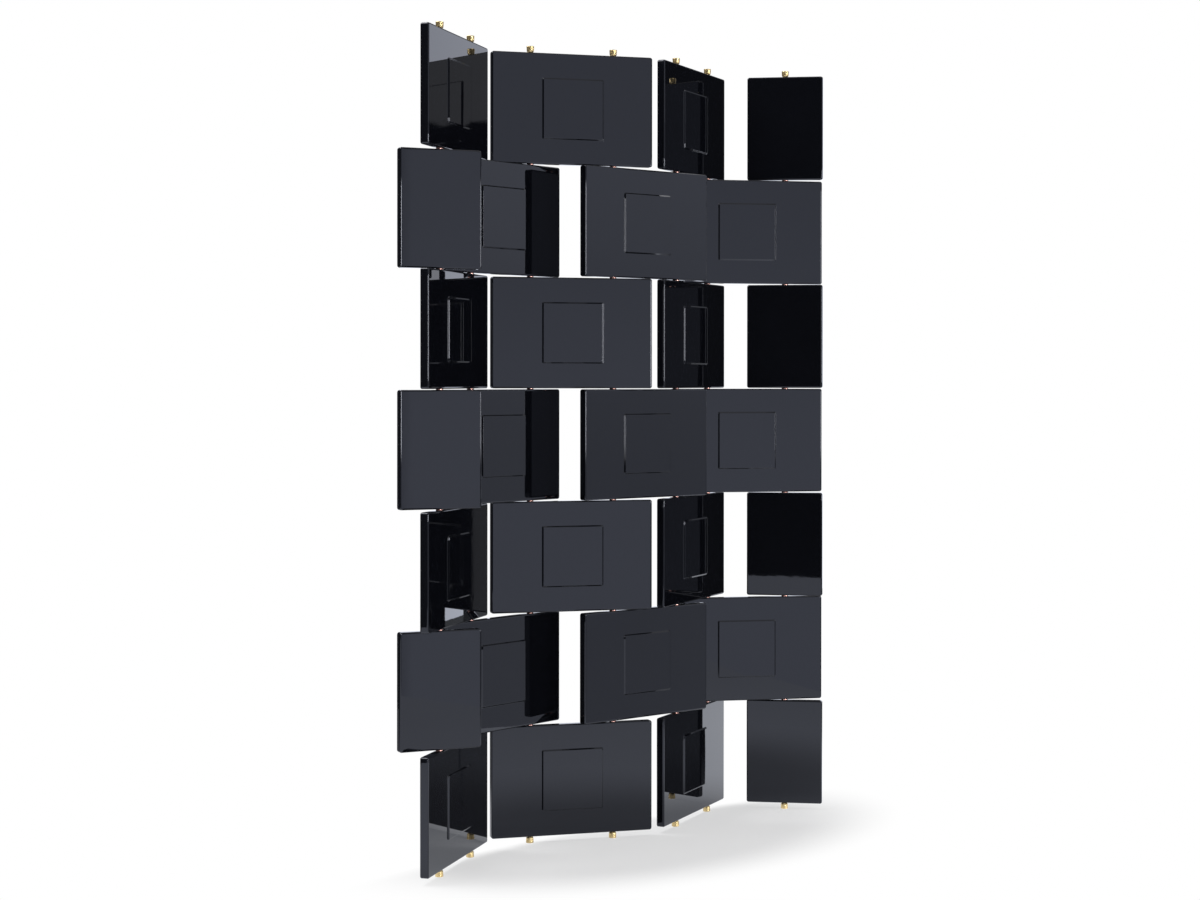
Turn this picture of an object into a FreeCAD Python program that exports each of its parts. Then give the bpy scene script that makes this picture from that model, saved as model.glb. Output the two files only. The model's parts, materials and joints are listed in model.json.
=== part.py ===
import FreeCAD, Part
import math
import os

# Free-standing folding screen: courses of lacquered wooden bricks threaded on upright brass rods.
# Full bricks carry two rods and half bricks one, laid in stretcher bond, so every course overlaps
# the next by half a brick and each rod is a hinge. Millimetres, +Z up, the front faces -Y.

COURSES = 7
ROD_SPACING = 203.0

BRICK_LENGTH = 393.0
HALF_LENGTH = 191.0
BRICK_HEIGHT = 261.0
BRICK_THICKNESS = 20.0
EDGE_BEVEL = 2.0
COURSE_GAP = 2.0

PANEL_WIDTH = 150.0
PANEL_HEIGHT = 144.0
PANEL_RISE = 3.0
PANEL_SLOPE = 3.0
PANEL_ROOT = 1.0

ROD_RADIUS = 4.0
ROD_TAIL = 9.0
RUNNING_CLEARANCE = 0.05
SPACER_RADIUS = 8.0

KNOB_HEIGHT = 15.0
KNOB_SOCKET_DEPTH = 10.0
KNOB_OUTLINE = ((6.0, 0.0), (8.2, 7.0), (9.0, KNOB_HEIGHT))

# Small turned pieces and hidden bores repeat many times, so they are drawn with flats.
TURNED_SIDES = 24
BORE_SIDES = 12

# The pose in which it stands: directions of leaves 1 to 6 from left to right, in degrees from +X,
# and of the loose half bricks on the first and the last rod.
LEAF_ANGLES = (31.1, 6.8, -26.5, -2.3, 22.3, -32.0)
LEFT_HALF_ANGLE = -18.0
RIGHT_HALF_ANGLE = -51.2

COURSE_PITCH = BRICK_HEIGHT + COURSE_GAP
STACK_HEIGHT = COURSES * COURSE_PITCH - COURSE_GAP
ORIGIN = FreeCAD.Vector(0, 0, 0)
X_AXIS = FreeCAD.Vector(1, 0, 0)
Z_AXIS = FreeCAD.Vector(0, 0, 1)


def course_base(course):
    """Height of the underside of a course, counted from 1 at the bottom."""
    return KNOB_HEIGHT + (course - 1) * COURSE_PITCH


def placed(shape, point, angle, height):
    """A copy of a shape turned about the upright axis and set down over a point of the plan."""
    copy = shape.copy()
    copy.rotate(ORIGIN, Z_AXIS, angle)
    copy.translate(FreeCAD.Vector(point.x, point.y, height))
    return copy


def turned(outline, sides):
    """A solid turned about Z from (radius, height) steps, drawn with flats that lie at those radii."""
    rings = []
    for radius, height in outline:
        corner = radius / math.cos(math.pi / sides)
        angles = [2 * math.pi * side / sides for side in range(sides)]
        rings.append([FreeCAD.Vector(corner * math.cos(a), corner * math.sin(a), height) for a in angles])
    loops = [rings[0], rings[-1]]
    for low, high in zip(rings, rings[1:]):
        for side in range(sides):
            loops.append([low[side - 1], low[side], high[side], high[side - 1]])
    faces = [Part.Face(Part.makePolygon(loop + loop[:1])) for loop in loops]
    return Part.makeSolid(Part.makeShell(faces))


def drilling(depth):
    """The hole for a rod, which just clears it."""
    radius = ROD_RADIUS + RUNNING_CLEARANCE
    return turned(((radius, 0), (radius, depth)), BORE_SIDES)


def raised_panel():
    """The field that stands proud of a brick's back face, with sloping sides, rooted inside the face."""
    root = PANEL_ROOT * PANEL_SLOPE / PANEL_RISE
    half_width = PANEL_WIDTH / 2
    half_height = PANEL_HEIGHT / 2
    middle = BRICK_HEIGHT / 2
    face = BRICK_THICKNESS / 2
    return Part.makeWedge(
        -half_width - root, face - PANEL_ROOT, middle - half_height - root,
        middle - half_height + PANEL_SLOPE, -half_width + PANEL_SLOPE,
        half_width + root, face + PANEL_RISE, middle + half_height + root,
        middle + half_height - PANEL_SLOPE, half_width - PANEL_SLOPE)


def brick(length, rod_offsets, panelled):
    """A bevelled slab drilled from top to bottom for its rods, with a raised panel on each face if asked."""
    corner = FreeCAD.Vector(-length / 2, -BRICK_THICKNESS / 2, 0)
    slab = Part.makeBox(length, BRICK_THICKNESS, BRICK_HEIGHT, corner)
    body = slab.makeChamfer(EDGE_BEVEL, slab.Edges)
    if panelled:
        back = raised_panel()
        front = placed(back, ORIGIN, 180, 0)
        body = body.fuse([back, front])
    bore = drilling(BRICK_HEIGHT)
    return body.cut([placed(bore, X_AXIS * offset, 0, 0) for offset in rod_offsets])


def rod():
    """A round bar that runs through every course and a little way into its knob and its foot."""
    return Part.makeCylinder(ROD_RADIUS, STACK_HEIGHT + 2 * ROD_TAIL, FreeCAD.Vector(0, 0, -ROD_TAIL))


def knob():
    """A turned finial: a neck that flares up to a flat rim, with a blind socket for the rod below."""
    return turned(KNOB_OUTLINE, TURNED_SIDES).cut(drilling(KNOB_SOCKET_DEPTH))


def spacer_set():
    """The thin copper washers that hold the courses apart along one rod."""
    disc = turned(((SPACER_RADIUS, 0), (SPACER_RADIUS, COURSE_GAP)), TURNED_SIDES)
    ring = disc.cut(drilling(COURSE_GAP))
    heights = [course_base(course) + BRICK_HEIGHT for course in range(1, COURSES)]
    return Part.makeCompound([placed(ring, ORIGIN, 0, height) for height in heights])


def rod_points():
    """Plan positions of the rods: a chain of equal steps, each in the direction of its leaf."""
    points = [ORIGIN]
    for angle in LEAF_ANGLES:
        step = FreeCAD.Rotation(Z_AXIS, angle).multVec(X_AXIS) * ROD_SPACING
        points.append(points[-1] + step)
    return points


def bricks(points):
    """All bricks by name: leaves 1, 3 and 5 in the odd courses, 2, 4 and 6 in the even ones.

    A half brick closes each course: on the last rod in odd courses, on the first rod in even ones.
    """
    full_brick = brick(BRICK_LENGTH, (-ROD_SPACING / 2, ROD_SPACING / 2), True)
    half_brick = brick(HALF_LENGTH, (0,), False)
    pieces = {}
    for course in range(1, COURSES + 1):
        base = course_base(course)
        odd = course % 2 == 1
        for leaf in (1, 3, 5) if odd else (2, 4, 6):
            middle = (points[leaf - 1] + points[leaf]) * 0.5
            name = f"leaf{leaf}_brick_course{course}"
            pieces[name] = placed(full_brick, middle, LEAF_ANGLES[leaf - 1], base)
        side = "right" if odd else "left"
        end = points[-1] if odd else points[0]
        angle = RIGHT_HALF_ANGLE if odd else LEFT_HALF_ANGLE
        pieces[f"{side}_half_brick_course{course}"] = placed(half_brick, end, angle, base)
    return pieces


def metalwork(points):
    """Rods, spacers, knobs and feet by name, numbered from left to right. A foot is a knob turned over."""
    bar = rod()
    rings = spacer_set()
    finial = knob()
    foot = finial.copy()
    foot.rotate(ORIGIN, X_AXIS, 180)
    pieces = {}
    for number, point in enumerate(points, 1):
        pieces[f"rod_{number}"] = placed(bar, point, 0, KNOB_HEIGHT)
        pieces[f"spacers_{number}"] = placed(rings, point, 0, 0)
        pieces[f"knob_{number}"] = placed(finial, point, 0, KNOB_HEIGHT + STACK_HEIGHT)
        pieces[f"foot_{number}"] = placed(foot, point, 0, KNOB_HEIGHT)
    return pieces


os.makedirs("parts", exist_ok=True)
rods = rod_points()
screen = {**bricks(rods), **metalwork(rods)}
box = Part.makeCompound(list(screen.values())).BoundBox
to_origin = FreeCAD.Vector(-box.Center.x, -box.Center.y, -box.ZMin)
for piece_name, piece in screen.items():
    piece.translate(to_origin)
    piece.exportStep(f"parts/{piece_name}.step")
for rod_number, rod_point in enumerate(rods, 1):
    print(f"rod {rod_number}: x {rod_point.x + to_origin.x:.3f} y {rod_point.y + to_origin.y:.3f}")
print(f"size {box.XLength:.2f} x {box.YLength:.2f} x {box.ZLength:.2f}, {len(screen)} pieces")
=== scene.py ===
import json
import math

import bmesh
import bpy
import numpy as np
from mathutils import Matrix, Vector


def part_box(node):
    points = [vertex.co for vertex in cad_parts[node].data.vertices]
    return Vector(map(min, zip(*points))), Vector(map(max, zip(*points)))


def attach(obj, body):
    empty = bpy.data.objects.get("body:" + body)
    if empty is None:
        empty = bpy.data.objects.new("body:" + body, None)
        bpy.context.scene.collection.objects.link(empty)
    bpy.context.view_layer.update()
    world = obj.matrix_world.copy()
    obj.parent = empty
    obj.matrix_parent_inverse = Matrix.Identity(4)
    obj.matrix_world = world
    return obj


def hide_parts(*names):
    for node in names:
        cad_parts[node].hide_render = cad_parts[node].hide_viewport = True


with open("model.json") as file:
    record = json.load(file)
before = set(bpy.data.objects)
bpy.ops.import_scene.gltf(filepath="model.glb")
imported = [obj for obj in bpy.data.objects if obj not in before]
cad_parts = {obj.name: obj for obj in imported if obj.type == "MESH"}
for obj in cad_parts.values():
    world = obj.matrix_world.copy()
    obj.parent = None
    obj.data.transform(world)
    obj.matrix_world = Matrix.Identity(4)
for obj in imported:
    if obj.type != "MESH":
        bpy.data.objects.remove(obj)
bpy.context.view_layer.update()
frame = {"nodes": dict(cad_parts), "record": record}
carrier = {node: body for body, nodes in frame["record"]["behaviour"]["bodies"].items() for node in nodes}


# Rods. Seven upright bars of 8 mm brass, drawn through a die, run through every course and are the
# hinge pins of the folds. Bricks, spacers, knobs and feet hide them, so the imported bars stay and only
# take the finish of drawn bar.
ROD_COUNT = 7
DRAWN_BRASS = "#D9B45C"
DRAWN_BRASS_DULL = "#B98F3E"
DIE_LINE = 0.0006
DIE_STREAK = 0.25
DRAWN_FILM_PATCH = 0.0333


def linear(hex_colour):
    """sRGB hex digits as linear light: a channel over 12.92 when dark, else the 2.4 power of its offset."""
    srgb = np.array([int(hex_colour[i:i + 2], 16) for i in (1, 3, 5)]) / 255
    light = np.where(srgb <= 0.04045, srgb / 12.92, ((srgb + 0.055) / 1.055) ** 2.4)
    return (*light.tolist(), 1.0)


def add_node(tree, kind, settings, inputs):
    """Adds a node, sets its attributes, and gives each named input a value or a link from another node."""
    made = tree.nodes.new(kind)
    for name, value in settings.items():
        setattr(made, name, value)
    for name, value in inputs.items():
        if isinstance(value, bpy.types.NodeSocket):
            tree.links.new(value, made.inputs[name])
        else:
            made.inputs[name].default_value = value
    return made


# Drawn brass: the die leaves fine lines along the bar, so it shines in long soft streaks with a little
# dull film between them. The lines are drawn about 0.6 mm apart, coarser than real ones, to show at all.
drawn_brass = bpy.data.materials.new("brass_drawn_bar")
drawn_brass.use_nodes = True
tree = drawn_brass.node_tree
tree.nodes.clear()
place = add_node(tree, "ShaderNodeTexCoord", {}, {})
along = add_node(tree, "ShaderNodeMapping", {}, {
    "Vector": place.outputs["Object"], "Scale": (1 / DIE_LINE, 1 / DIE_LINE, 1 / DIE_STREAK)})
lines = add_node(tree, "ShaderNodeTexNoise", {}, {"Vector": along.outputs[0], "Scale": 1.0, "Detail": 3.0})
film = add_node(tree, "ShaderNodeTexNoise", {}, {
    "Vector": place.outputs["Object"], "Scale": 1 / DRAWN_FILM_PATCH, "Detail": 4.0})
tone = add_node(tree, "ShaderNodeMix", {"data_type": "RGBA"}, {
    0: film.outputs[0], 6: linear(DRAWN_BRASS), 7: linear(DRAWN_BRASS_DULL)})
gloss = add_node(tree, "ShaderNodeMapRange", {}, {"Value": lines.outputs[0], "To Min": 0.18, "To Max": 0.38})
score = add_node(tree, "ShaderNodeBump", {}, {"Height": lines.outputs[0], "Distance": 0.00002})
shader = add_node(tree, "ShaderNodeBsdfPrincipled", {}, {
    "Base Color": tone.outputs[2], "Metallic": 1.0, "Roughness": gloss.outputs[0],
    "Normal": score.outputs[0]})
add_node(tree, "ShaderNodeOutputMaterial", {}, {"Surface": shader.outputs[0]})

rod_axis = {}
for number in range(1, ROD_COUNT + 1):
    bar = frame["nodes"][f"rod_{number}"]
    bar.data.materials.clear()
    bar.data.materials.append(drawn_brass)
    bar_low, bar_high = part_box(f"rod_{number}")
    rod_axis[number] = ((bar_low + bar_high) / 2).to_2d()


# Feet. Small turned brass pieces, one screwed on the lower end of each rod: a stout flank that stands on
# the floor and draws in to a neck against the lowest brick. The knobs are the same piece.
NECK_RADIUS = 0.0060
RIM_RADIUS = 0.0090
TURNED_HEIGHT = 0.0150
FLARE_HEIGHT = 0.0045
FLARE_SHARE = 0.78
SOCKET_RADIUS = 0.00405
SOCKET_DEPTH = 0.0100
RIM_ROUND = 0.0009
MOUTH_EASE = 0.0002
LIP_EASE = 0.0003
FACE_DISH = 0.0002
TURNED_STEPS = 48
FLARE_STEPS, RIM_STEPS, FACE_STEPS = 12, 7, 6
TURNED_BRASS = "#F4DFA9"
TURNED_BRASS_DULL = "#E2C182"
TOOL_FEED = 0.0007
TURNED_FILM_PATCH = 0.0111


def surface(name, grid, uv):
    """A mesh with one face for each cell of a grid of points; rows or columns that meet are then merged."""
    rows, columns = grid.shape[:2]
    index = np.arange(rows * columns).reshape(rows, columns)
    corners = (index[:-1, :-1], index[:-1, 1:], index[1:, 1:], index[1:, :-1])
    cells = np.stack(corners, axis=-1).reshape(-1, 4)
    mesh = bpy.data.meshes.new(name)
    mesh.from_pydata(grid.reshape(-1, 3).tolist(), [], cells.tolist())
    layer = mesh.uv_layers.new(name="surface_mm")
    layer.data.foreach_set("uv", uv.reshape(-1, 2)[cells.ravel()].astype(np.float32).ravel())
    sewn = bmesh.new()
    sewn.from_mesh(mesh)
    bmesh.ops.remove_doubles(sewn, verts=sewn.verts, dist=1e-6)
    bmesh.ops.recalc_face_normals(sewn, faces=sewn.faces)
    sewn.to_mesh(mesh)
    sewn.free()
    mesh.shade_smooth()
    return mesh


def arc(centre, radius, start, stop, steps):
    """Points of a circular arc: centre plus radius times the cosine and sine of evenly spaced angles."""
    turn = np.radians(np.linspace(start, stop, steps))
    return np.column_stack([centre[0] + radius * np.cos(turn), centre[1] + radius * np.sin(turn)])


def turned(name, outline, steps):
    """An outline of (radius, height) rows carried once round the upright axis.

    A point is radius times the cosine and sine of the turn, at its height. The UV is the turn and the
    distance along the outline in millimetres, so that tool marks run round the piece.
    """
    turn = np.linspace(0, 2 * np.pi, steps + 1)
    radius, height = outline[:, :1], outline[:, 1:]
    grid = np.stack([radius * np.cos(turn), radius * np.sin(turn), height + 0 * turn], axis=-1)
    run = np.concatenate([[0], np.cumsum(np.hypot(*np.diff(outline, axis=0).T))]) * 1000
    uv = np.stack(np.broadcast_arrays(turn / (2 * np.pi), run[:, None]), axis=-1)
    return surface(name, grid, uv)


def turned_outline():
    """From the blind end of the socket, down and out round the neck, up the flank and in over the face.

    Most of the flank's swell follows a quarter sine wave over the flare and the rest a straight taper to
    the rim. The face is dished by a parabola, deepest at the middle, as a turner leaves it.
    """
    socket = np.array([[0, SOCKET_DEPTH], [SOCKET_RADIUS, SOCKET_DEPTH], [SOCKET_RADIUS, MOUTH_EASE]])
    lip = np.array([[SOCKET_RADIUS + LIP_EASE, 0], [NECK_RADIUS - LIP_EASE, 0], [NECK_RADIUS, LIP_EASE]])
    flank_top = TURNED_HEIGHT - RIM_ROUND - LIP_EASE
    rise = np.append(np.linspace(2 * LIP_EASE, FLARE_HEIGHT, FLARE_STEPS), flank_top)
    flare = np.sin(np.pi / 2 * (rise / FLARE_HEIGHT).clip(0, 1))
    swell = FLARE_SHARE * flare + (1 - FLARE_SHARE) * rise / rise[-1]
    flank = np.column_stack([NECK_RADIUS + (RIM_RADIUS - NECK_RADIUS) * swell, rise])
    rim = arc((RIM_RADIUS - RIM_ROUND, TURNED_HEIGHT - RIM_ROUND), RIM_ROUND, 0, 90, RIM_STEPS)
    across = np.linspace(RIM_RADIUS - 1.6 * RIM_ROUND, 0, FACE_STEPS)
    face = np.column_stack([across, TURNED_HEIGHT - FACE_DISH * (1 - (across / RIM_RADIUS) ** 2)])
    return np.vstack([socket, lip, flank, rim, face])


def placed(name, mesh, matrix, material):
    """An object at the origin whose mesh is a copy of another, moved to its place."""
    copy = mesh.copy()
    copy.transform(matrix)
    copy.materials.append(material)
    piece = bpy.data.objects.new(name, copy)
    bpy.context.scene.collection.objects.link(piece)
    return piece


# Turned brass: the tool leaves fine rings round the piece and polishing takes their tops off, so the
# highlights stay bright but break up round the flank. Rings are drawn 0.7 mm apart to show.
turned_brass = bpy.data.materials.new("brass_turned_and_polished")
turned_brass.use_nodes = True
tree = turned_brass.node_tree
tree.nodes.clear()
place = add_node(tree, "ShaderNodeTexCoord", {}, {})
split = add_node(tree, "ShaderNodeSeparateXYZ", {}, {"Vector": place.outputs["UV"]})
rings = add_node(tree, "ShaderNodeTexNoise", {"noise_dimensions": "1D"}, {
    "W": split.outputs[1], "Scale": 0.001 / TOOL_FEED, "Detail": 2.0})
film = add_node(tree, "ShaderNodeTexNoise", {}, {
    "Vector": place.outputs["Object"], "Scale": 1 / TURNED_FILM_PATCH, "Detail": 4.0})
tone = add_node(tree, "ShaderNodeMix", {"data_type": "RGBA"}, {
    0: film.outputs[0], 6: linear(TURNED_BRASS), 7: linear(TURNED_BRASS_DULL)})
gloss = add_node(tree, "ShaderNodeMapRange", {}, {"Value": rings.outputs[0], "To Min": 0.28, "To Max": 0.48})
score = add_node(tree, "ShaderNodeBump", {}, {"Height": rings.outputs[0], "Distance": 0.00003})
shader = add_node(tree, "ShaderNodeBsdfPrincipled", {}, {
    "Base Color": tone.outputs[2], "Metallic": 1.0, "Roughness": gloss.outputs[0],
    "Normal": score.outputs[0]})
add_node(tree, "ShaderNodeOutputMaterial", {}, {"Surface": shader.outputs[0]})

finial = turned("finial", turned_outline(), TURNED_STEPS)
upside_down = Matrix.Rotation(math.pi, 4, "X")
for number, axis in rod_axis.items():
    neck_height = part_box(f"foot_{number}")[1].z
    stand = Matrix.Translation((*axis, neck_height)) @ upside_down
    foot = placed(f"rod{number}_turned_foot", finial, stand, turned_brass)
    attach(foot, carrier[f"foot_{number}"])
    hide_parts(f"foot_{number}")


# Full bricks. Slabs of wood 393 by 261 by 20 mm with softened edges and a raised, slightly dished
# square with bevelled sides on each face, drilled from top to bottom for two rods, then sprayed with
# black lacquer and polished. Odd courses hold leaves 1, 3 and 5, even courses leaves 2, 4 and 6.
ODD_COURSES = (1, 3, 5, 7)
EVEN_COURSES = (2, 4, 6)
BRICK_LENGTH = 0.393
BRICK_HEIGHT = 0.261
BRICK_THICKNESS = 0.020
EDGE_ROUND = 0.0035
CORNER_ROUND = 0.0055
FLAT_MARGIN = 0.0006
PANEL_WIDTH = 0.1500
PANEL_HEIGHT = 0.1440
PANEL_CORNER = 0.0008
PANEL_RISE = 0.0030
PANEL_BRINK_ROUND = 0.0008
PANEL_FOOT_ROUND = 0.0006
PANEL_DISH = 0.00025
BORE_RADIUS = 0.00405
BORE_OVERRUN = 0.01
BORE_STEPS = 24
SIDE_STEPS, CORNER_STEPS, EDGE_STEPS = 13, 7, 8
BEND_STEPS, BEVEL_STEPS = 5, 6
BORE_ARRIS = math.radians(40)
LACQUER = "#0A0B0F"
LACQUER_CLOUD = "#0D0E13"
CLOUD_SIZE = 0.111
PEEL_WAVE = 0.030
RUB_MARK, RUB_LENGTH = 0.0015, 0.1


def slab_rings(length, panelled):
    """Rows of (half width, half height, corner radius, distance from the mid plane), middle to rim.

    The raised square's side is a bevel of 45 degrees with a small arc at its brink and another at its
    foot, the field is flat, and the edge turns a quarter circle. Rows just inside a bend keep the flat
    parts flat.
    """
    face = BRICK_THICKNESS / 2
    rows = []
    if panelled:
        ease = math.tan(math.radians(22.5))
        brink = (-PANEL_RISE - ease * PANEL_BRINK_ROUND, PANEL_RISE - PANEL_BRINK_ROUND)
        brink_bend = arc(brink, PANEL_BRINK_ROUND, 90, 45, BEND_STEPS)
        foot = (ease * PANEL_FOOT_ROUND, PANEL_FOOT_ROUND)
        foot_bend = arc(foot, PANEL_FOOT_ROUND, 225, 270, BEND_STEPS)
        bevel = np.linspace(brink_bend[-1], foot_bend[0], BEVEL_STEPS)[1:-1]
        field = foot_bend[-1:] + (FLAT_MARGIN, 0)
        out, rise = np.vstack([brink_bend, bevel, foot_bend, field]).T
        half_sides = (PANEL_WIDTH / 2 + out, PANEL_HEIGHT / 2 + out)
        side = np.column_stack([*half_sides, PANEL_CORNER + PANEL_RISE + out])
        share = np.array([0, 0.15, 0.3, 0.45, 0.6, 0.72, 0.82, 0.9, 0.96, 0.99])
        rows.append(np.column_stack([np.outer(share, side[0]), np.full(len(share), face + PANEL_RISE)]))
        rows.append(np.column_stack([side, face + rise]))
    else:
        rows.append([[0, 0, 0, face], [length / 4, BRICK_HEIGHT / 4, CORNER_ROUND / 4, face]])
    bend = np.radians(np.linspace(0, 90, EDGE_STEPS))
    inset = np.concatenate([[EDGE_ROUND + FLAT_MARGIN], EDGE_ROUND * (1 - np.sin(bend)), [0, 0]])
    rim_side = [face - EDGE_ROUND - FLAT_MARGIN, 0]
    out = np.concatenate([[face], face - EDGE_ROUND * (1 - np.cos(bend)), rim_side])
    rows.append(np.column_stack([length / 2 - inset, BRICK_HEIGHT / 2 - inset, CORNER_ROUND - inset, out]))
    return np.vstack(rows)


def brick_mesh(name, length, panelled):
    """Rounded rectangles, one inside the other, from the middle of the front over the rim to the back's.

    Round a rectangle the point is the corner's centre plus the corner radius along the outward normal,
    with the centre sliding from corner to corner along the sides. A panel's top dips by the dish
    times a parabola across and half as strong a one upwards, and its bevel eases the dip out.
    """
    side = np.linspace(-1, 1, SIDE_STEPS)
    bend = np.radians(np.linspace(0, 90, CORNER_STEPS))[1:-1]
    flat, full = np.zeros(SIDE_STEPS), np.ones(SIDE_STEPS)
    corner = np.ones(len(bend))
    centre_x = np.concatenate([side, corner, full, corner, -side, -corner, -full, -corner, [-1]])
    centre_z = np.concatenate([-full, -corner, side, corner, full, corner, -side, -corner, [-1]])
    sine, cosine = np.sin(bend), np.cos(bend)
    normal_x = np.concatenate([flat, sine, full, cosine, flat, -sine, -full, -cosine, [0]])
    normal_z = np.concatenate([-full, -cosine, flat, sine, full, cosine, flat, -sine, [-1]])
    front = slab_rings(length, panelled)
    front[:, 3] *= -1
    back = front[-2::-1] * (1, 1, 1, -1)
    half_width, half_height, radius, depth = (column[:, None] for column in np.vstack([front, back]).T)
    x = (half_width - radius) * centre_x + radius * normal_x
    z = (half_height - radius) * centre_z + radius * normal_z
    y = depth + 0 * x
    if panelled:
        across, up = x / (PANEL_WIDTH / 2 - PANEL_RISE), z / (PANEL_HEIGHT / 2 - PANEL_RISE)
        raised = ((np.abs(depth) - BRICK_THICKNESS / 2) / PANEL_RISE).clip(0, 1)
        y -= np.sign(depth) * PANEL_DISH * raised * (1 - across ** 2).clip(0) * (1 - up ** 2 / 2)
    grid = np.stack([x, y, z + BRICK_HEIGHT / 2], axis=-1)
    return surface(name, grid, np.stack([x, z], axis=-1) * 1000)


def drilled(mesh, offsets):
    """The same mesh with an upright bore at each offset along its length, cut right through."""
    blank = bpy.data.objects.new("blank", mesh)
    bpy.context.scene.collection.objects.link(blank)
    cutters = []
    for offset in offsets:
        low, high = -BORE_OVERRUN, BRICK_HEIGHT + BORE_OVERRUN
        ends = np.array([[0, low], [BORE_RADIUS, low], [BORE_RADIUS, high], [0, high]])
        bit = bpy.data.objects.new("bit", turned("bit", ends, BORE_STEPS))
        bit.data.transform(Matrix.Translation((offset, 0, 0)))
        bpy.context.scene.collection.objects.link(bit)
        cut = blank.modifiers.new("bore", "BOOLEAN")
        cut.object = bit
        cutters.append(bit)
    graph = bpy.context.evaluated_depsgraph_get()
    bored = bpy.data.meshes.new_from_object(blank.evaluated_get(graph))
    for used in (blank, *cutters):
        bpy.data.objects.remove(used)
    bored.set_sharp_from_angle(angle=BORE_ARRIS)
    return bored


# Black lacquer, sprayed and polished: nearly no colour of its own, so it shows the room. The film still
# has a faint long wave from the spraying, about 30 mm from crest to crest, and rubbing down leaves a
# slight haze of marks along the brick.
lacquer = bpy.data.materials.new("black_lacquer_sprayed_and_polished")
lacquer.use_nodes = True
tree = lacquer.node_tree
tree.nodes.clear()
place = add_node(tree, "ShaderNodeTexCoord", {}, {})
cloud = add_node(tree, "ShaderNodeTexNoise", {}, {
    "Vector": place.outputs["Object"], "Scale": 1 / CLOUD_SIZE, "Detail": 3.0})
tone = add_node(tree, "ShaderNodeMix", {"data_type": "RGBA"}, {
    0: cloud.outputs[0], 6: linear(LACQUER), 7: linear(LACQUER_CLOUD)})
strokes = add_node(tree, "ShaderNodeMapping", {}, {
    "Vector": place.outputs["UV"], "Scale": (0.001 / RUB_LENGTH, 0.001 / RUB_MARK, 1.0)})
rubbed = add_node(tree, "ShaderNodeTexNoise", {}, {
    "Vector": strokes.outputs[0], "Scale": 1.0, "Detail": 5.0})
gloss = add_node(tree, "ShaderNodeMapRange", {}, {
    "Value": rubbed.outputs[0], "To Min": 0.006, "To Max": 0.022})
peel = add_node(tree, "ShaderNodeTexNoise", {}, {
    "Vector": place.outputs["Object"], "Scale": 1 / PEEL_WAVE, "Detail": 2.0})
wave = add_node(tree, "ShaderNodeBump", {}, {"Height": peel.outputs[0], "Distance": 0.000012})
shader = add_node(tree, "ShaderNodeBsdfPrincipled", {}, {
    "Base Color": tone.outputs[2], "Roughness": gloss.outputs[0], "IOR": 1.5, "Normal": wave.outputs[0],
    "Specular Tint": linear("#F0F3FF")})
add_node(tree, "ShaderNodeOutputMaterial", {}, {"Surface": shader.outputs[0]})

rod_spacing = (rod_axis[2] - rod_axis[1]).length
full_brick = drilled(brick_mesh("full_brick", BRICK_LENGTH, True), (-rod_spacing / 2, rod_spacing / 2))
for leaf in range(1, ROD_COUNT):
    run = rod_axis[leaf + 1] - rod_axis[leaf]
    middle = (rod_axis[leaf] + rod_axis[leaf + 1]) / 2
    heading = Matrix.Rotation(math.atan2(run.y, run.x), 4, "Z")
    for course in ODD_COURSES if leaf % 2 else EVEN_COURSES:
        node = f"leaf{leaf}_brick_course{course}"
        stand = Matrix.Translation((*middle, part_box(node)[0].z)) @ heading
        brick = placed(f"leaf{leaf}_course{course}_lacquered_brick", full_brick, stand, lacquer)
        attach(brick, carrier[node])
        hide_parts(node)


# Half bricks. Plain lacquered slabs, 191 mm long, drilled for one rod in the middle. They close the
# left end of the even courses and the right end of the odd ones, and turn freely on their rod.
HALF_LENGTH = 0.191
LEFT_HALF_HEADING = math.radians(-18.0)
RIGHT_HALF_HEADING = math.radians(-51.2)

half_brick = drilled(brick_mesh("half_brick", HALF_LENGTH, False), (0.0,))
left_end = [("left", 1, course, LEFT_HALF_HEADING) for course in EVEN_COURSES]
right_end = [("right", ROD_COUNT, course, RIGHT_HALF_HEADING) for course in ODD_COURSES]
for end, number, course, angle in left_end + right_end:
    node = f"{end}_half_brick_course{course}"
    stand = Matrix.Translation((*rod_axis[number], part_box(node)[0].z)) @ Matrix.Rotation(angle, 4, "Z")
    brick = placed(f"{end}_half_course{course}_lacquered_brick", half_brick, stand, lacquer)
    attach(brick, carrier[node])
    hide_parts(node)


# Spacers. Copper washers, 16 mm across and 2 mm thick, turned from bar and loose on the rods in every
# gap between courses. They keep the lacquered edges apart and let each brick swing on its rod.
SPACER_RADIUS = 0.0080
SPACER_HEIGHT = 0.0020
SPACER_ROUND = 0.0003
SPACER_STEPS = 32
SPACER_ARRIS = math.radians(50)
COPPER = "#F3C4B8"
COPPER_DULL = "#D39C8E"
COPPER_FILM_PATCH = 0.00714

# Turned copper: pinker than the brass beside it, bright where bricks have rubbed it and duller in patches
# of about 7 mm. The tool's rings are drawn 0.7 mm apart, as on the brass.
turned_copper = bpy.data.materials.new("copper_turned_washer")
turned_copper.use_nodes = True
tree = turned_copper.node_tree
tree.nodes.clear()
place = add_node(tree, "ShaderNodeTexCoord", {}, {})
split = add_node(tree, "ShaderNodeSeparateXYZ", {}, {"Vector": place.outputs["UV"]})
rings = add_node(tree, "ShaderNodeTexNoise", {"noise_dimensions": "1D"}, {
    "W": split.outputs[1], "Scale": 0.001 / TOOL_FEED, "Detail": 2.0})
film = add_node(tree, "ShaderNodeTexNoise", {}, {
    "Vector": place.outputs["Object"], "Scale": 1 / COPPER_FILM_PATCH, "Detail": 4.0})
tone = add_node(tree, "ShaderNodeMix", {"data_type": "RGBA"}, {
    0: film.outputs[0], 6: linear(COPPER), 7: linear(COPPER_DULL)})
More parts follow.
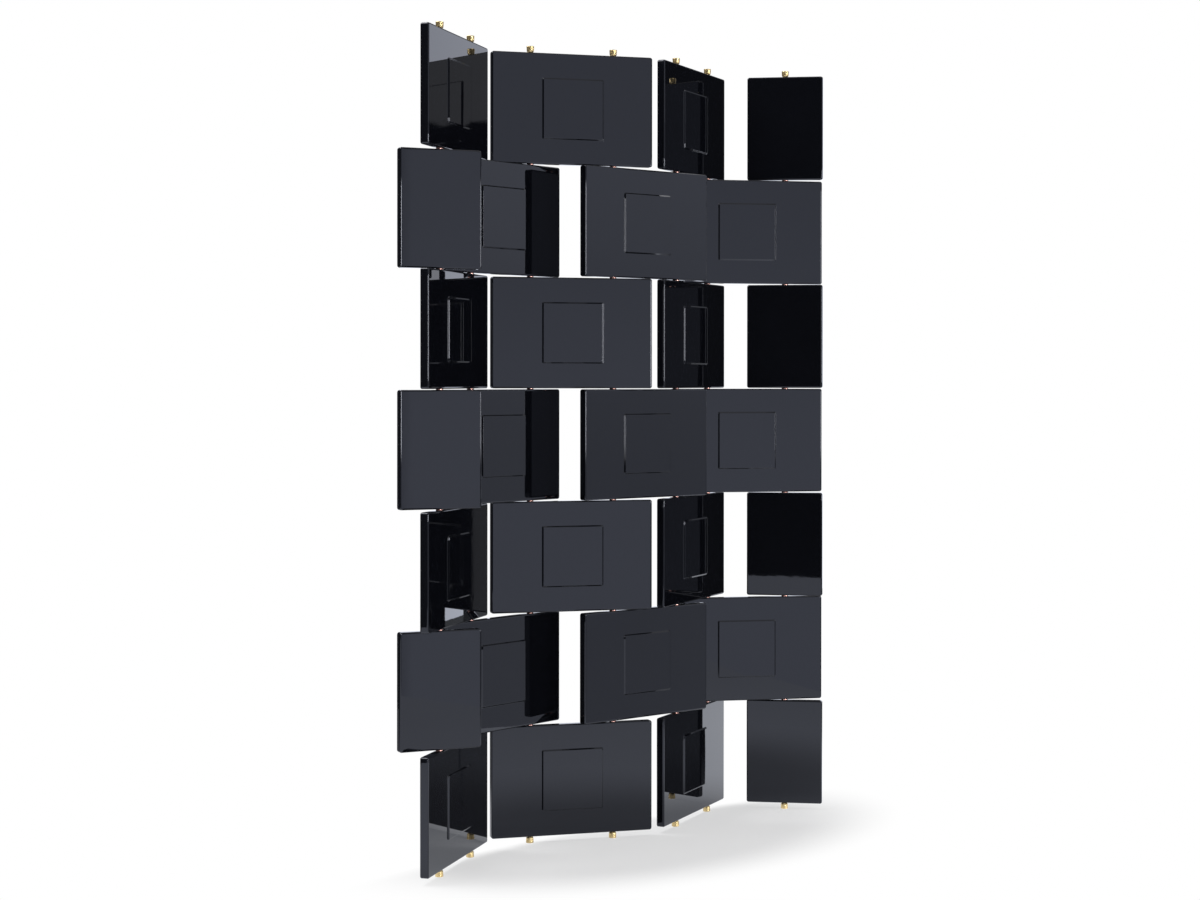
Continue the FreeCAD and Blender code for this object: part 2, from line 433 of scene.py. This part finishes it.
gloss = add_node(tree, "ShaderNodeMapRange", {}, {"Value": rings.outputs[0], "To Min": 0.16, "To Max": 0.34})
score = add_node(tree, "ShaderNodeBump", {}, {"Height": rings.outputs[0], "Distance": 0.00002})
shader = add_node(tree, "ShaderNodeBsdfPrincipled", {}, {
    "Base Color": tone.outputs[2], "Metallic": 1.0, "Roughness": gloss.outputs[0],
    "Normal": score.outputs[0]})
add_node(tree, "ShaderNodeOutputMaterial", {}, {"Surface": shader.outputs[0]})

outer, inner = SPACER_RADIUS - SPACER_ROUND, BORE_RADIUS
upper, lower = SPACER_HEIGHT - SPACER_ROUND, SPACER_ROUND
ring_outline = np.vstack([
    [[inner, SPACER_HEIGHT], [inner, 0]],
    arc((outer, lower), SPACER_ROUND, -90, 0, BEND_STEPS),
    arc((outer, upper), SPACER_ROUND, 0, 90, BEND_STEPS),
    [[inner, SPACER_HEIGHT]],
])
ring = turned("spacer", ring_outline, SPACER_STEPS)
ring.set_sharp_from_angle(angle=SPACER_ARRIS)
for number, axis in rod_axis.items():
    node = f"spacers_{number}"
    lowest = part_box(node)[0].z
    step = BRICK_HEIGHT + SPACER_HEIGHT
    stack = bmesh.new()
    for gap in range(len(ODD_COURSES) + len(EVEN_COURSES) - 1):
        ring_copy = ring.copy()
        ring_copy.transform(Matrix.Translation((*axis, lowest + gap * step)))
        stack.from_mesh(ring_copy)
        bpy.data.meshes.remove(ring_copy)
    rings_mesh = bpy.data.meshes.new(f"spacer_rings_{number}")
    stack.to_mesh(rings_mesh)
    stack.free()
    spacers = placed(f"rod{number}_spacer_rings", rings_mesh, Matrix.Identity(4), turned_copper)
    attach(spacers, carrier[node])
    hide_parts(node)


# Knobs. The same turned brass piece as the feet, the right way up, screwed on the upper end of each
# rod to hold the stack of bricks together: a neck on the topmost brick that swells to a flat rim.
for number, axis in rod_axis.items():
    node = f"knob_{number}"
    stand = Matrix.Translation((*axis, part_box(node)[0].z))
    knob = placed(f"rod{number}_turned_knob", finial, stand, turned_brass)
    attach(knob, carrier[node])
    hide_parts(node)


# Camera. Nearly level, about 1.1 m above the floor, to the left before the screen; the shift only frames
# the screen, and the roll of a twentieth of a degree is the photograph's own.
CAMERA_HEADING = math.radians(-42.961)
view = bpy.data.cameras.new("camera")
view.sensor_width = 36.0
view.lens = 65.315
view.shift_y = -0.05
camera = bpy.data.objects.new("camera", view)
camera.location = (-3.5427, -3.7722, 1.0877)
camera.rotation_euler = (math.radians(89.726), math.radians(-0.047), CAMERA_HEADING)
bpy.context.scene.collection.objects.link(camera)
bpy.context.scene.camera = camera
ahead_way = np.array([-math.sin(CAMERA_HEADING), math.cos(CAMERA_HEADING), 0.0])
right_way = np.array([math.cos(CAMERA_HEADING), math.sin(CAMERA_HEADING), 0.0])


# Studio floor. Matt white paint, laid square to the camera and wider on the right further ahead. To the
# camera it glows white, but less in an oval pool before the screen's feet, so the paint's soft shadow shows
# there: a painted shadow pool that runs out to white round it. In the lacquer it glows as a painted
# reflection, lighter the further ahead it lies and painted dark behind the screen.
FLOOR_BEHIND, FLOOR_AHEAD = -6.08, 6.0
FLOOR_LEFT, FLOOR_RIGHT = -2.2, 1.5
FLOOR_FLARE = 0.3
FLOOR_DROP = 0.0003
FLOOR_WHITE = "#F0F0F1"
# Painted reflection of the floor: its tint and glow strengths as the lacquer sees it, near, far ahead and
# behind the screen.
FLOOR_PAINTED_REFLECTION_TINT = "#F2F6FF"
ROLLER_NAP = 0.005
REFLECTION_GLOW_NEAR, REFLECTION_GLOW_AHEAD, REFLECTION_GLOW_BEHIND = 1.25, 1.75, 0.2
NEAR_END, AHEAD_START = -2.0, 1.2
SCREEN_LINE, BEHIND_START = 0.1, 0.9
POOL_MIDDLE = (0.03, 0.04, 0.0)
POOL_HEADING = math.radians(45.6)
POOL_ALONG, POOL_BEFORE, POOL_BEHIND = 0.82, 0.49, 0.11
POOL_INNER, POOL_RIM = 0.60, 1.05
SHADOW_REACH, WHITE_REACH = 0.35, 1.0
SEEN_SHARE, GLOSS_SHARE = 0.58, 0.34
run_ahead, run_right = np.meshgrid(
    np.linspace(FLOOR_BEHIND, FLOOR_AHEAD, 13), np.linspace(FLOOR_LEFT, FLOOR_RIGHT, 5), indexing="ij")
run_right += FLOOR_FLARE * run_ahead.clip(0) * run_right.clip(0) / FLOOR_RIGHT
floor_grid = run_ahead[..., None] * ahead_way + run_right[..., None] * right_way - (0, 0, FLOOR_DROP)
floor_mesh = surface("studio_floor", floor_grid, np.stack([run_ahead, run_right], axis=-1))
floor_paint = bpy.data.materials.new("matt_white_floor_paint_with_painted_glow")
floor_paint.use_nodes = True
tree = floor_paint.node_tree
tree.nodes.clear()
place = add_node(tree, "ShaderNodeTexCoord", {}, {})
roller = add_node(tree, "ShaderNodeTexNoise", {}, {
    "Vector": place.outputs["Object"], "Scale": 1 / ROLLER_NAP})
nap = add_node(tree, "ShaderNodeBump", {}, {"Height": roller.outputs[0], "Distance": 0.0002})
matt = add_node(tree, "ShaderNodeBsdfDiffuse", {}, {"Color": linear(FLOOR_WHITE), "Normal": nap.outputs[0]})
ray = add_node(tree, "ShaderNodeLightPath", {}, {})
oval = add_node(tree, "ShaderNodeMapping", {"vector_type": "TEXTURE"}, {
    "Vector": place.outputs["UV"], "Location": POOL_MIDDLE, "Rotation": (0.0, 0.0, POOL_HEADING),
    "Scale": (POOL_ALONG, POOL_BEFORE, 1.0)})
split = add_node(tree, "ShaderNodeSeparateXYZ", {}, {"Vector": oval.outputs[0]})
behind = add_node(tree, "ShaderNodeMath", {"operation": "MULTIPLY"}, {
    0: split.outputs[1], 1: -POOL_BEFORE / POOL_BEHIND})
across = add_node(tree, "ShaderNodeMath", {"operation": "MAXIMUM"}, {
    0: split.outputs[1], 1: behind.outputs[0]})
oval = add_node(tree, "ShaderNodeCombineXYZ", {}, {"X": split.outputs[0], "Y": across.outputs[0]})
pool = add_node(tree, "ShaderNodeVectorMath", {"operation": "LENGTH"}, {0: oval.outputs[0]})
# Painted shadow pool: inside the oval the camera sees less of the white glow, so the floor reads darker
# there.
painted_pool_glow_share = add_node(tree, "ShaderNodeMapRange", {"interpolation_type": "SMOOTHSTEP"}, {
    "Value": pool.outputs["Value"], "From Min": POOL_INNER, "From Max": POOL_RIM,
    "To Min": SEEN_SHARE, "To Max": 1.0})
away = add_node(tree, "ShaderNodeVectorMath", {"operation": "LENGTH"}, {0: place.outputs["Object"]})
# Painted reflection: glossy rays see the floor's white glow, a smaller share of it near the screen.
painted_reflection_share = add_node(tree, "ShaderNodeMapRange", {"interpolation_type": "SMOOTHSTEP"}, {
    "Value": away.outputs["Value"], "From Min": SHADOW_REACH, "From Max": WHITE_REACH,
    "To Min": GLOSS_SHARE, "To Max": 1.0})
seen = add_node(tree, "ShaderNodeMath", {"operation": "MULTIPLY"}, {
    0: ray.outputs["Is Camera Ray"], 1: painted_pool_glow_share.outputs[0]})
share = add_node(tree, "ShaderNodeMath", {"operation": "MULTIPLY_ADD"}, {
    0: ray.outputs["Is Glossy Ray"], 1: painted_reflection_share.outputs[0], 2: seen.outputs[0]})
# The painted reflection's glow is tinted a little blue.
painted_reflection_tint = add_node(tree, "ShaderNodeMix", {"data_type": "RGBA"}, {
    0: ray.outputs["Is Glossy Ray"], 6: (1.0, 1.0, 1.0, 1.0), 7: linear(FLOOR_PAINTED_REFLECTION_TINT)})
from_camera = add_node(tree, "ShaderNodeSeparateXYZ", {}, {"Vector": place.outputs["UV"]})
# The painted reflection glows brighter further ahead and is painted dark behind the screen.
painted_reflection_ahead = add_node(tree, "ShaderNodeMapRange", {}, {
    "Value": from_camera.outputs[0], "From Min": NEAR_END, "From Max": AHEAD_START,
    "To Min": REFLECTION_GLOW_NEAR, "To Max": REFLECTION_GLOW_AHEAD})
from_screen = add_node(tree, "ShaderNodeSeparateXYZ", {}, {"Vector": place.outputs["Object"]})
painted_reflection_level = add_node(tree, "ShaderNodeMapRange", {"interpolation_type": "SMOOTHSTEP"}, {
    "Value": from_screen.outputs[1], "From Min": SCREEN_LINE, "From Max": BEHIND_START,
    "To Min": painted_reflection_ahead.outputs[0], "To Max": REFLECTION_GLOW_BEHIND})
strength = add_node(tree, "ShaderNodeMapRange", {}, {
    "Value": ray.outputs["Is Glossy Ray"], "To Min": 1.0, "To Max": painted_reflection_level.outputs[0]})
# The floor's painted glow: white to the camera, and stronger or weaker in reflections by place.
white = add_node(tree, "ShaderNodeEmission", {}, {
    "Color": painted_reflection_tint.outputs[2], "Strength": strength.outputs[0]})
paint = add_node(tree, "ShaderNodeMixShader", {}, {
    0: share.outputs[0], 1: matt.outputs[0], 2: white.outputs[0]})
add_node(tree, "ShaderNodeOutputMaterial", {}, {"Surface": paint.outputs[0]})
floor = placed("studio_floor", floor_mesh, Matrix.Identity(4), floor_paint)


# Studio room and lamps. White walls stand behind the screen and to the right under a grey ceiling, and
# the rest is dim or unlit. Softboxes at eye height stand to the right and round the camera, with a dark
# flag on the right. Bearings, clockwise from the camera's heading, and elevations are in degrees.
DARK, DIM, DEEP = 0.045, 0.10, 0.015
LEFT_SIDE = ((-180, DARK), (-165, DARK), (-160, DIM), (-115, DIM), (-110, DARK), (-28, DARK))
BACK_LOW = ((-24, 1.45), (25, 1.45), (32, 2.35), (40, 2.35), (43, DEEP), (75.5, DEEP))
BACK_MIDDLE = ((-24, 1.45), (40, 1.45), (43, DEEP), (75.5, DEEP))
BACK_TOP = ((-24, 0.18), (40, 0.18), (43, DEEP), (75.5, DEEP))
UPPER_SIDES = (
    (78.5, 1.05), (103, 1.07), (104, DARK), (129, DARK), (130.5, 1.12), (136, 1.12), (136.4, DARK),
    (143.3, DARK), (143.7, 0.97), (151, 0.98), (155, 1.05), (161, 1.05), (165, DARK), (180, DARK))
LOWER_SIDES = (
    (78.5, 0.66), (103, 0.70), (104, DARK), (129, DARK), (130.5, 1.28), (136, 1.28), (136.4, DARK),
    (143.3, DARK), (143.7, 1.26), (161, 1.26), (165, DARK), (180, DARK))
ABOVE_FLAG = ((104.2, 113.8, 2.1),)
BELOW_FLAG = ((111.85, 114, 1.5),)
EYE_BOXES = ((-174, -170.3, 3.45), (-122, -120, 0.9), (55.5, 60, 1.6), (60, 65, 1.0), (115, 123, 20),
             (125, 127, 0.8), (136.5, 137.8, 4.6), (138.2, 143.2, 30))
LOWER_TO_UPPER, BACK_WALL_TOP, CEILING_FOOT = (-3, 7), (11, 14), (27, 37)
EYE_FOOT, EYE_TOP, FLAG_TOP = (-2.3, -1.6), (5.0, 5.3), (6.70, 6.80)
CEILING = (0.32, 0.32, 0.32, 1.0)
# Painted reflection: the ceiling shows lighter in the lacquer and brass than in the light it sheds.
CEILING_SHEEN = (0.60, 0.60, 0.62, 1.0)
UNLIT = (0.0, 0.0, 0.0, 1.0)
WALL_WHITE = np.array(linear("#ECF1FF")[:3])
room = bpy.data.worlds.new("studio_room")
bpy.context.scene.world = room
room.use_nodes = True
tree = room.node_tree
tree.nodes.clear()
place = add_node(tree, "ShaderNodeTexCoord", {}, {})
ahead = add_node(tree, "ShaderNodeVectorMath", {"operation": "DOT_PRODUCT"}, {
    0: place.outputs["Generated"], 1: ahead_way})
right = add_node(tree, "ShaderNodeVectorMath", {"operation": "DOT_PRODUCT"}, {
    0: place.outputs["Generated"], 1: right_way})
bearing = add_node(tree, "ShaderNodeMath", {"operation": "ARCTAN2"}, {
    0: right.outputs["Value"], 1: ahead.outputs["Value"]})
around = add_node(tree, "ShaderNodeMapRange", {}, {
    "Value": bearing.outputs[0], "From Min": -math.pi, "From Max": math.pi})
split = add_node(tree, "ShaderNodeSeparateXYZ", {}, {"Vector": place.outputs["Generated"]})


def ring_of_walls(tones):
    """A colour ramp round the horizon from rows of (bearing in degrees, level)."""
    ramp = add_node(tree, "ShaderNodeValToRGB", {}, {"Fac": around.outputs[0]})
    stops = ramp.color_ramp.elements
    while len(stops) < len(tones):
        stops.new(0.5)
    for stop, (degrees, level) in zip(stops, tones):
        stop.position = (degrees + 180) / 360
        stop.color = (*(level * WALL_WHITE), 1.0)
    return ramp.outputs[0]


def soft_boxes(rows):
    """The summed level of softboxes, each of which fills the bearings from one angle to another."""
    total = 0.0
    for start, stop, level in rows:
        inside = add_node(tree, "ShaderNodeMath", {"operation": "COMPARE"}, {
            0: bearing.outputs[0], 1: math.radians((start + stop) / 2), 2: math.radians((stop - start) / 2)})
        total = add_node(tree, "ShaderNodeMath", {"operation": "MULTIPLY_ADD"}, {
            0: inside.outputs[0], 1: level, 2: total}).outputs[0]
    return total


def stacked(lower, upper, start, stop):
    """One part of the room above another, blended between two elevations in degrees."""
    step = add_node(tree, "ShaderNodeMapRange", {"interpolation_type": "SMOOTHSTEP"}, {
        "Value": split.outputs[2], "From Min": math.sin(math.radians(start)),
        "From Max": math.sin(math.radians(stop))})
    blend = add_node(tree, "ShaderNodeMix", {"data_type": "RGBA"}, {0: step.outputs[0], 6: lower, 7: upper})
    return blend.outputs[2]


walls = ring_of_walls(LEFT_SIDE + BACK_LOW + LOWER_SIDES)
walls = stacked(walls, ring_of_walls(LEFT_SIDE + BACK_MIDDLE + UPPER_SIDES), *LOWER_TO_UPPER)
walls = stacked(walls, ring_of_walls(LEFT_SIDE + BACK_TOP + UPPER_SIDES), *BACK_WALL_TOP)
ray = add_node(tree, "ShaderNodeLightPath", {}, {})
# Glossy rays see the lighter ceiling, a painted reflection; other rays get the grey that lights the scene.
ceiling = add_node(tree, "ShaderNodeMix", {"data_type": "RGBA"}, {
    0: ray.outputs["Is Glossy Ray"], 6: CEILING, 7: CEILING_SHEEN})
walls = stacked(walls, ceiling.outputs[2], *CEILING_FOOT)
boxes = stacked(soft_boxes(BELOW_FLAG), soft_boxes(EYE_BOXES), *EYE_FOOT)
boxes = stacked(boxes, UNLIT, *EYE_TOP)
boxes = stacked(boxes, soft_boxes(ABOVE_FLAG), *FLAG_TOP)
boxes = stacked(boxes, UNLIT, *CEILING_FOOT)
shell = add_node(tree, "ShaderNodeMix", {"data_type": "RGBA", "blend_type": "ADD"}, {
    0: 1.0, 6: walls, 7: boxes})
tone = add_node(tree, "ShaderNodeMix", {"data_type": "RGBA"}, {
    0: ray.outputs["Is Camera Ray"], 6: shell.outputs[2], 7: (1.0, 1.0, 1.0, 1.0)})
glow = add_node(tree, "ShaderNodeBackground", {}, {"Color": tone.outputs[2]})
add_node(tree, "ShaderNodeOutputWorld", {}, {"Surface": glow.outputs[0]})


def soft_lamp(name, place, aim, size, power):
    """A rectangular lamp at a place, turned towards a point, that the camera doesn't see itself."""
    lamp = bpy.data.lights.new(name, "AREA")
    lamp.shape = "RECTANGLE"
    lamp.size, lamp.size_y = size
    lamp.energy = power
    holder = bpy.data.objects.new(name, lamp)
    away = Vector(place) - Vector(aim)
    holder.matrix_world = Matrix.Translation(place) @ away.to_track_quat("Z", "Y").to_matrix().to_4x4()
    holder.visible_camera = False
    bpy.context.scene.collection.objects.link(holder)


soft_lamp("high_left_lamp", place=(-1.5, 1.3, 4.0), aim=(0.0, 0.0, 0.0), size=(2.0, 2.0), power=120.0)
soft_lamp("overhead_right_lamp", place=(1.7, -0.1, 3.5), aim=(0.0, 0.0, 1.3), size=(1.0, 0.9), power=6.0)

scene = bpy.context.scene
scene.view_settings.view_transform = "Standard"
